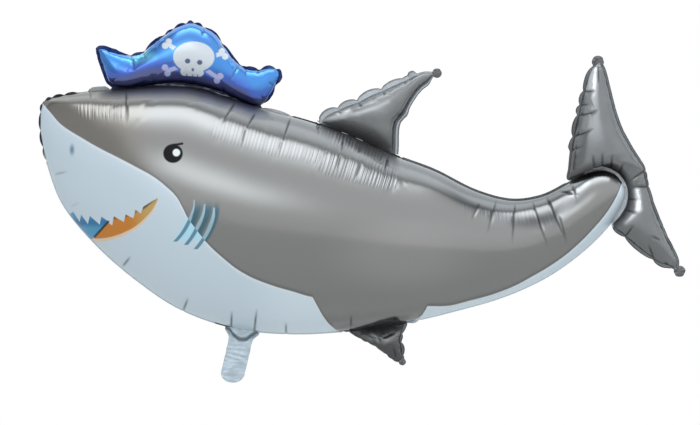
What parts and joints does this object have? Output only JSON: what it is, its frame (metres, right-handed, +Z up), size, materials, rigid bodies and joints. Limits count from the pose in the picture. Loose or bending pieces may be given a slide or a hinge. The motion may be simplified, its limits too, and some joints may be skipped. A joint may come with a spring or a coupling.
{
  "type": "shark foil balloon",
  "caption": "Gas-filled foil balloon shaped as a shark in a cocked hat, two welded film panels per chamber, with fins and a loose filler neck.",
  "frame": {"origin": "in the plane of the welds, inside the body about level with the crown's widest section; the air holds the part there", "axes": "+X from the nose towards the tail, +Z up, and the shark's left side faces -Y"},
  "size_m": [1.0674, 0.2716, 0.5962],
  "materials": {
    "silver_foil": "satin printed foil film",
    "blue_foil": "glossy printed foil film",
    "white_film": "thin glossy plastic film"
  },
  "bodies": {
    "balloon": {"body_left_panel": "silver_foil", "body_right_panel": "silver_foil", "body_seam_rim": "silver_foil", "dorsal_fin_left_panel": "silver_foil", "dorsal_fin_right_panel": "silver_foil", "dorsal_fin_seam_rim": "silver_foil", "dorsal_tip_tab": "silver_foil", "hat_left_panel": "blue_foil", "hat_right_panel": "blue_foil", "hat_seam_rim": "blue_foil", "tail_fin_left_panel": "silver_foil", "tail_fin_right_panel": "silver_foil", "tail_fin_seam_rim": "silver_foil", "tail_lower_tip_tab": "silver_foil", "tail_upper_tip_tab": "silver_foil", "ventral_fin_left_panel": "silver_foil", "ventral_fin_right_panel": "silver_foil", "ventral_fin_seam_rim": "silver_foil", "ventral_tip_tab": "silver_foil"},
    "neck": {"neck_left_film": "white_film", "neck_right_film": "white_film"}
  },
  "joints": [
    {"name": "neck_fold", "type": "hinge", "parent": "balloon", "child": "neck", "pos_m": [-0.043, 0, -0.20945], "axis": [0.9863, 0, -0.165], "range_deg": [-75, 75]}
  ]
}
